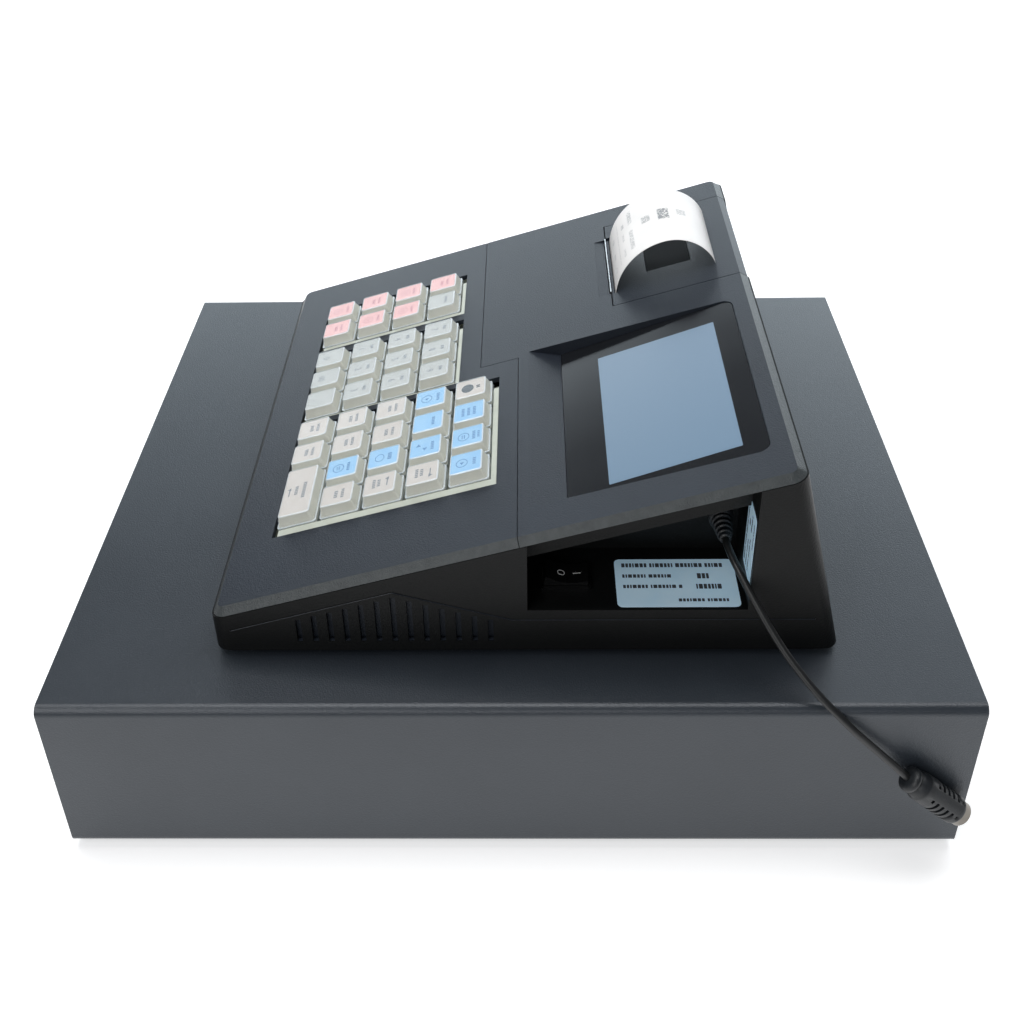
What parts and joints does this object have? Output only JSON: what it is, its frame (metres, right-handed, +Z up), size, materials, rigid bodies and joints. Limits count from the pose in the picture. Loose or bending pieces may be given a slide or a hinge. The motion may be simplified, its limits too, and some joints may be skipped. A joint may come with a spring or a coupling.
{
  "type": "ticket register",
  "caption": "Counter register with a sloped colour-coded keyboard, sunk display and slip printer on a key-locked steel cash drawer, with its short power lead.",
  "frame": {"origin": "centre of the drawer case's footprint, on the surface that it stands on", "axes": "+X to the operator's right, +Y to the rear, +Z up"},
  "size_m": [0.3423, 0.3682, 0.1814],
  "materials": {
    "case_paint": "fine textured satin powder coat, dark grey",
    "drawer_paint": "fine textured satin powder coat, dark grey",
    "zinc_steel": "zinc plated",
    "rubber_black": "matte",
    "tray_plastic": "matte moulded",
    "clip_plastic": "satin",
    "lock_metal": "bright plated",
    "housing_plastic": "fine spark-eroded texture, near black",
    "cover_plastic": "fine spark-eroded texture, slate grey",
    "plate_plastic": "pale translucent grey",
    "display_glass": "glossy black glass over a pale blue-grey panel",
    "printer_plastic": "satin",
    "platen_rubber": "ground rubber on a steel shaft",
    "paper": "smooth white thermal paper",
    "switch_plastic": "semi-gloss black",
    "lead_jacket": "satin black jacket",
    "plug_plastic": "moulded, satin black",
    "key_ivory": "ivory under a clear cap",
    "key_grey": "white-grey under a clear cap",
    "key_pink": "pink under a clear cap",
    "key_blue": "light blue under a clear cap"
  },
  "bodies": {
    "case": {"drawer_cover": "case_paint", "drawer_chassis": "zinc_steel", "rubber_feet": "rubber_black", "base_housing": "housing_plastic", "keyboard_cover": "cover_plastic", "rear_cover": "cover_plastic", "switch_plate": "plate_plastic", "display_module": "display_glass", "printer_mechanism": "printer_plastic", "port_board": "switch_plastic", "lead_cord": "lead_jacket", "lead_plugs": "plug_plastic"},
    "drawer": {"drawer_box": "drawer_paint", "cash_tray": "tray_plastic"},
    "clips": {"note_clips": "clip_plastic"},
    "lock": {"lock_cylinder": "lock_metal"},
    "lid": {"printer_lid": "cover_plastic", "receipt": "paper"},
    "platen": {"platen_roller": "platen_rubber"},
    "roll": {"paper_roll": "paper"},
    "rocker": {"switch_rocker": "switch_plastic"},
    "key_bank1_row1_col1_body": {"key_bank1_row1_col1": "key_pink"},
    "key_bank1_row1_col2_body": {"key_bank1_row1_col2": "key_pink"},
    "key_bank1_row1_col3_body": {"key_bank1_row1_col3": "key_pink"},
    "key_bank1_row1_col4_body": {"key_bank1_row1_col4": "key_pink"},
    "key_bank1_row2_col1_body": {"key_bank1_row2_col1": "key_pink"},
    "key_bank1_row2_col2_body": {"key_bank1_row2_col2": "key_pink"},
    "key_bank1_row2_col3_body": {"key_bank1_row2_col3": "key_pink"},
    "key_bank1_row2_col4_body": {"key_bank1_row2_col4": "key_grey"},
    "key_bank2_row1_col1_body": {"key_bank2_row1_col1": "key_grey"},
    "key_bank2_row1_col2_body": {"key_bank2_row1_col2": "key_grey"},
    "key_bank2_row1_col3_body": {"key_bank2_row1_col3": "key_grey"},
    "key_bank2_row1_col4_body": {"key_bank2_row1_col4": "key_grey"},
    "key_bank2_row2_col1_body": {"key_bank2_row2_col1": "key_grey"},
    "key_bank2_row2_col2_body": {"key_bank2_row2_col2": "key_grey"},
    "key_bank2_row2_col3_body": {"key_bank2_row2_col3": "key_grey"},
    "key_bank2_row2_col4_body": {"key_bank2_row2_col4": "key_grey"},
    "key_bank2_row3_col1_body": {"key_bank2_row3_col1": "key_grey"},
    "key_bank2_row3_col2_body": {"key_bank2_row3_col2": "key_grey"},
    "key_bank2_row3_col3_body": {"key_bank2_row3_col3": "key_grey"},
    "key_bank2_row3_col4_body": {"key_bank2_row3_col4": "key_grey"},
    "key_bank3_row1_col1_body": {"key_bank3_row1_col1": "key_ivory"},
    "key_bank3_row1_col2_body": {"key_bank3_row1_col2": "key_ivory"},
    "key_bank3_row1_col3_body": {"key_bank3_row1_col3": "key_ivory"},
    "key_bank3_row1_col4_body": {"key_bank3_row1_col4": "key_blue"},
    "key_bank3_row1_col5_body": {"key_bank3_row1_col5": "key_ivory"},
    "key_bank3_row2_col1_body": {"key_bank3_row2_col1": "key_ivory"},
    "key_bank3_row2_col2_body": {"key_bank3_row2_col2": "key_ivory"},
    "key_bank3_row2_col3_body": {"key_bank3_row2_col3": "key_ivory"},
    "key_bank3_row2_col4_body": {"key_bank3_row2_col4": "key_blue"},
    "key_bank3_row2_col5_body": {"key_bank3_row2_col5": "key_blue"},
    "key_bank3_row3_col1_body": {"key_bank3_row3_col1": "key_ivory"},
    "key_bank3_row3_col2_body": {"key_bank3_row3_col2": "key_blue"},
    "key_bank3_row3_col3_body": {"key_bank3_row3_col3": "key_blue"},
    "key_bank3_row3_col4_body": {"key_bank3_row3_col4": "key_blue"},
    "key_bank3_row3_col5_body": {"key_bank3_row3_col5": "key_blue"},
    "key_bank3_row4_col2_body": {"key_bank3_row4_col2": "key_ivory"},
    "key_bank3_row4_col3_body": {"key_bank3_row4_col3": "key_ivory"},
    "key_bank3_row4_col4_body": {"key_bank3_row4_col4": "key_ivory"},
    "key_bank3_row4_col5_body": {"key_bank3_row4_col5": "key_blue"}
  },
  "joints": [
    {"name": "drawer_slide", "type": "slide", "parent": "case", "child": "drawer", "axis": [0, -1, 0], "range_m": [0, 0.25]},
    {"name": "lock_turn", "type": "hinge", "parent": "drawer", "child": "lock", "pos_m": [0, -0.184, 0.03676], "axis": [0, 1, 0], "range_deg": [0, 90]},
    {"name": "note_clip_lift", "type": "hinge", "parent": "drawer", "child": "clips", "pos_m": [0, 0.1397, 0.05105], "axis": [-1, 0, 0], "range_deg": [0, 20], "stiffness_Nm_per_rad": 0.15, "springref_deg": -20.05},
    {"name": "lid_hinge", "type": "hinge", "parent": "case", "child": "lid", "pos_m": [-0.0655, 0.1054, 0.16413], "axis": [-1, 0, 0], "range_deg": [0, 75]},
    {"name": "roll_spin", "type": "hinge", "parent": "case", "child": "roll", "pos_m": [-0.0655, 0.09077, 0.13168], "axis": [-1, 0, 0], "continuous": true},
    {"name": "platen_spin", "type": "hinge", "parent": "lid", "child": "platen", "pos_m": [-0.0655, 0.05751, 0.14691], "axis": [-1, 0, 0], "continuous": true},
    {"name": "power_rocker", "type": "hinge", "parent": "case", "child": "rocker", "pos_m": [0.1158, 0.023, 0.1059], "axis": [1, 0, 0], "range_deg": [0, 16]},
    {"name": "press_bank1_row1_col1", "type": "slide", "parent": "case", "child": "key_bank1_row1_col1_body", "axis": [0, -0.2823, 0.9593], "range_m": [-0.0035, 0], "stiffness_N_per_m": 150, "springref_m": 0.002},
    {"name": "press_bank1_row1_col2", "type": "slide", "parent": "case", "child": "key_bank1_row1_col2_body", "axis": [0, -0.2823, 0.9593], "range_m": [-0.0035, 0], "stiffness_N_per_m": 150, "springref_m": 0.002},
    {"name": "press_bank1_row1_col3", "type": "slide", "parent": "case", "child": "key_bank1_row1_col3_body", "axis": [0, -0.2823, 0.9593], "range_m": [-0.0035, 0], "stiffness_N_per_m": 150, "springref_m": 0.002},
    {"name": "press_bank1_row1_col4", "type": "slide", "parent": "case", "child": "key_bank1_row1_col4_body", "axis": [0, -0.2823, 0.9593], "range_m": [-0.0035, 0], "stiffness_N_per_m": 150, "springref_m": 0.002},
    {"name": "press_bank1_row2_col1", "type": "slide", "parent": "case", "child": "key_bank1_row2_col1_body", "axis": [0, -0.2823, 0.9593], "range_m": [-0.0035, 0], "stiffness_N_per_m": 150, "springref_m": 0.002},
    {"name": "press_bank1_row2_col2", "type": "slide", "parent": "case", "child": "key_bank1_row2_col2_body", "axis": [0, -0.2823, 0.9593], "range_m": [-0.0035, 0], "stiffness_N_per_m": 150, "springref_m": 0.002},
    {"name": "press_bank1_row2_col3", "type": "slide", "parent": "case", "child": "key_bank1_row2_col3_body", "axis": [0, -0.2823, 0.9593], "range_m": [-0.0035, 0], "stiffness_N_per_m": 150, "springref_m": 0.002},
    {"name": "press_bank1_row2_col4", "type": "slide", "parent": "case", "child": "key_bank1_row2_col4_body", "axis": [0, -0.2823, 0.9593], "range_m": [-0.0035, 0], "stiffness_N_per_m": 150, "springref_m": 0.002},
    {"name": "press_bank2_row1_col1", "type": "slide", "parent": "case", "child": "key_bank2_row1_col1_body", "axis": [0, -0.2823, 0.9593], "range_m": [-0.0035, 0], "stiffness_N_per_m": 150, "springref_m": 0.002},
    {"name": "press_bank2_row1_col2", "type": "slide", "parent": "case", "child": "key_bank2_row1_col2_body", "axis": [0, -0.2823, 0.9593], "range_m": [-0.0035, 0], "stiffness_N_per_m": 150, "springref_m": 0.002},
    {"name": "press_bank2_row1_col3", "type": "slide", "parent": "case", "child": "key_bank2_row1_col3_body", "axis": [0, -0.2823, 0.9593], "range_m": [-0.0035, 0], "stiffness_N_per_m": 150, "springref_m": 0.002},
    {"name": "press_bank2_row1_col4", "type": "slide", "parent": "case", "child": "key_bank2_row1_col4_body", "axis": [0, -0.2823, 0.9593], "range_m": [-0.0035, 0], "stiffness_N_per_m": 150, "springref_m": 0.002},
    {"name": "press_bank2_row2_col1", "type": "slide", "parent": "case", "child": "key_bank2_row2_col1_body", "axis": [0, -0.2823, 0.9593], "range_m": [-0.0035, 0], "stiffness_N_per_m": 150, "springref_m": 0.002},
    {"name": "press_bank2_row2_col2", "type": "slide", "parent": "case", "child": "key_bank2_row2_col2_body", "axis": [0, -0.2823, 0.9593], "range_m": [-0.0035, 0], "stiffness_N_per_m": 150, "springref_m": 0.002},
    {"name": "press_bank2_row2_col3", "type": "slide", "parent": "case", "child": "key_bank2_row2_col3_body", "axis": [0, -0.2823, 0.9593], "range_m": [-0.0035, 0], "stiffness_N_per_m": 150, "springref_m": 0.002},
    {"name": "press_bank2_row2_col4", "type": "slide", "parent": "case", "child": "key_bank2_row2_col4_body", "axis": [0, -0.2823, 0.9593], "range_m": [-0.0035, 0], "stiffness_N_per_m": 150, "springref_m": 0.002},
    {"name": "press_bank2_row3_col1", "type": "slide", "parent": "case", "child": "key_bank2_row3_col1_body", "axis": [0, -0.2823, 0.9593], "range_m": [-0.0035, 0], "stiffness_N_per_m": 150, "springref_m": 0.002},
    {"name": "press_bank2_row3_col2", "type": "slide", "parent": "case", "child": "key_bank2_row3_col2_body", "axis": [0, -0.2823, 0.9593], "range_m": [-0.0035, 0], "stiffness_N_per_m": 150, "springref_m": 0.002},
    {"name": "press_bank2_row3_col3", "type": "slide", "parent": "case", "child": "key_bank2_row3_col3_body", "axis": [0, -0.2823, 0.9593], "range_m": [-0.0035, 0], "stiffness_N_per_m": 150, "springref_m": 0.002},
    {"name": "press_bank2_row3_col4", "type": "slide", "parent": "case", "child": "key_bank2_row3_col4_body", "axis": [0, -0.2823, 0.9593], "range_m": [-0.0035, 0], "stiffness_N_per_m": 150, "springref_m": 0.002},
    {"name": "press_bank3_row1_col1", "type": "slide", "parent": "case", "child": "key_bank3_row1_col1_body", "axis": [0, -0.2823, 0.9593], "range_m": [-0.0035, 0], "stiffness_N_per_m": 150, "springref_m": 0.002},
    {"name": "press_bank3_row1_col2", "type": "slide", "parent": "case", "child": "key_bank3_row1_col2_body", "axis": [0, -0.2823, 0.9593], "range_m": [-0.0035, 0], "stiffness_N_per_m": 150, "springref_m": 0.002},
    {"name": "press_bank3_row1_col3", "type": "slide", "parent": "case", "child": "key_bank3_row1_col3_body", "axis": [0, -0.2823, 0.9593], "range_m": [-0.0035, 0], "stiffness_N_per_m": 150, "springref_m": 0.002},
    {"name": "press_bank3_row1_col4", "type": "slide", "parent": "case", "child": "key_bank3_row1_col4_body", "axis": [0, -0.2823, 0.9593], "range_m": [-0.0035, 0], "stiffness_N_per_m": 150, "springref_m": 0.002},
    {"name": "press_bank3_row1_col5", "type": "slide", "parent": "case", "child": "key_bank3_row1_col5_body", "axis": [0, -0.2823, 0.9593], "range_m": [-0.0035, 0], "stiffness_N_per_m": 150, "springref_m": 0.002},
    {"name": "press_bank3_row2_col1", "type": "slide", "parent": "case", "child": "key_bank3_row2_col1_body", "axis": [0, -0.2823, 0.9593], "range_m": [-0.0035, 0], "stiffness_N_per_m": 150, "springref_m": 0.002},
    {"name": "press_bank3_row2_col2", "type": "slide", "parent": "case", "child": "key_bank3_row2_col2_body", "axis": [0, -0.2823, 0.9593], "range_m": [-0.0035, 0], "stiffness_N_per_m": 150, "springref_m": 0.002},
    {"name": "press_bank3_row2_col3", "type": "slide", "parent": "case", "child": "key_bank3_row2_col3_body", "axis": [0, -0.2823, 0.9593], "range_m": [-0.0035, 0], "stiffness_N_per_m": 150, "springref_m": 0.002},
    {"name": "press_bank3_row2_col4", "type": "slide", "parent": "case", "child": "key_bank3_row2_col4_body", "axis": [0, -0.2823, 0.9593], "range_m": [-0.0035, 0], "stiffness_N_per_m": 150, "springref_m": 0.002},
    {"name": "press_bank3_row2_col5", "type": "slide", "parent": "case", "child": "key_bank3_row2_col5_body", "axis": [0, -0.2823, 0.9593], "range_m": [-0.0035, 0], "stiffness_N_per_m": 150, "springref_m": 0.002},
    {"name": "press_bank3_row3_col1", "type": "slide", "parent": "case", "child": "key_bank3_row3_col1_body", "axis": [0, -0.2823, 0.9593], "range_m": [-0.0035, 0], "stiffness_N_per_m": 150, "springref_m": 0.002},
    {"name": "press_bank3_row3_col2", "type": "slide", "parent": "case", "child": "key_bank3_row3_col2_body", "axis": [0, -0.2823, 0.9593], "range_m": [-0.0035, 0], "stiffness_N_per_m": 150, "springref_m": 0.002},
    {"name": "press_bank3_row3_col3", "type": "slide", "parent": "case", "child": "key_bank3_row3_col3_body", "axis": [0, -0.2823, 0.9593], "range_m": [-0.0035, 0], "stiffness_N_per_m": 150, "springref_m": 0.002},
    {"name": "press_bank3_row3_col4", "type": "slide", "parent": "case", "child": "key_bank3_row3_col4_body", "axis": [0, -0.2823, 0.9593], "range_m": [-0.0035, 0], "stiffness_N_per_m": 150, "springref_m": 0.002},
    {"name": "press_bank3_row3_col5", "type": "slide", "parent": "case", "child": "key_bank3_row3_col5_body", "axis": [0, -0.2823, 0.9593], "range_m": [-0.0035, 0], "stiffness_N_per_m": 150, "springref_m": 0.002},
    {"name": "press_bank3_row4_col2", "type": "slide", "parent": "case", "child": "key_bank3_row4_col2_body", "axis": [0, -0.2823, 0.9593], "range_m": [-0.0035, 0], "stiffness_N_per_m": 150, "springref_m": 0.002},
    {"name": "press_bank3_row4_col3", "type": "slide", "parent": "case", "child": "key_bank3_row4_col3_body", "axis": [0, -0.2823, 0.9593], "range_m": [-0.0035, 0], "stiffness_N_per_m": 150, "springref_m": 0.002},
    {"name": "press_bank3_row4_col4", "type": "slide", "parent": "case", "child": "key_bank3_row4_col4_body", "axis": [0, -0.2823, 0.9593], "range_m": [-0.0035, 0], "stiffness_N_per_m": 150, "springref_m": 0.002},
    {"name": "press_bank3_row4_col5", "type": "slide", "parent": "case", "child": "key_bank3_row4_col5_body", "axis": [0, -0.2823, 0.9593], "range_m": [-0.0035, 0], "stiffness_N_per_m": 150, "springref_m": 0.002}
  ],
  "couplings": [
    {"joint": "platen_spin", "follows": "roll_spin", "ratio": 5.3333}
  ]
}
